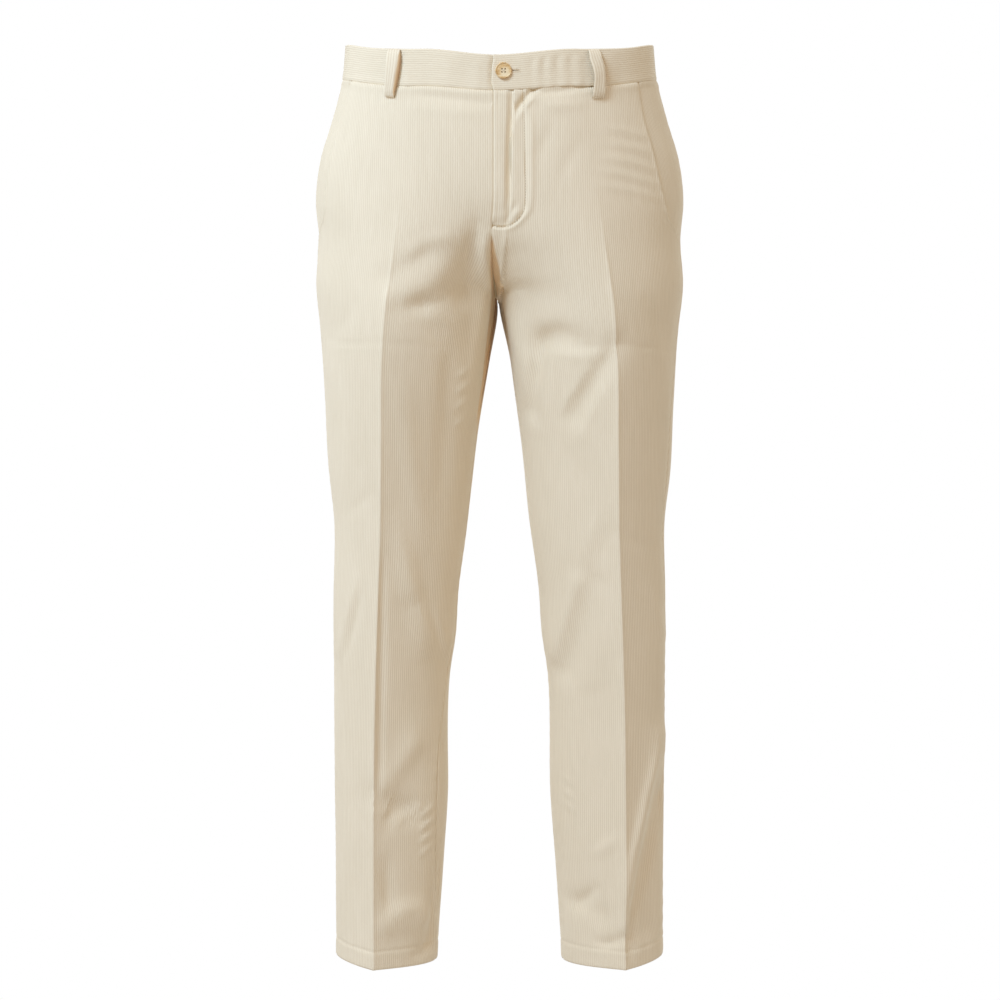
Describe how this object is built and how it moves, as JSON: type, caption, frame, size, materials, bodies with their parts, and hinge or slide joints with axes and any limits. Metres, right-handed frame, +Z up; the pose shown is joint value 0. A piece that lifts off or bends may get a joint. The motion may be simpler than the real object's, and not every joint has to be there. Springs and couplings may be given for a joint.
{
  "type": "corduroy trousers",
  "caption": "Flat-front corduroy trousers, filled out as if worn: buttoned waistband with belt loops, lapped fly, slanted side pockets and straight legs, open at the waist and hems.",
  "frame": {"origin": "middle of the waist, level with the top of the waistband at the sides", "axes": "+Z up, the front faces -Y, and the wearer's left is +X"},
  "size_m": [0.4271, 0.2605, 1.078],
  "materials": {
    "front_left": "fine-wale corduroy, matt with a short pile",
    "front_right": "fine-wale corduroy, matt with a short pile",
    "back_left": "fine-wale corduroy, matt with a short pile",
    "back_right": "fine-wale corduroy, matt with a short pile",
    "pocket_facing_left": "fine-wale corduroy, matt with a short pile",
    "pocket_facing_right": "fine-wale corduroy, matt with a short pile",
    "waistband_left": "fine-wale corduroy, matt with a short pile",
    "waistband_right": "fine-wale corduroy, matt with a short pile",
    "belt_loop_front_right": "fine-wale corduroy, matt with a short pile",
    "belt_loop_front_left": "fine-wale corduroy, matt with a short pile",
    "belt_loop_side_right": "fine-wale corduroy, matt with a short pile",
    "belt_loop_side_left": "fine-wale corduroy, matt with a short pile",
    "belt_loop_back": "fine-wale corduroy, matt with a short pile",
    "button": "mottled tan, horn-like, satin"
  },
  "bodies": {
    "root": {"front_left": "front_left", "front_right": "front_right", "back_left": "back_left", "back_right": "back_right", "pocket_facing_left": "pocket_facing_left", "pocket_facing_right": "pocket_facing_right", "waistband_left": "waistband_left", "waistband_right": "waistband_right", "belt_loop_front_right": "belt_loop_front_right", "belt_loop_front_left": "belt_loop_front_left", "belt_loop_side_right": "belt_loop_side_right", "belt_loop_side_left": "belt_loop_side_left", "belt_loop_back": "belt_loop_back", "button": "button"}
  },
  "joints": []
}
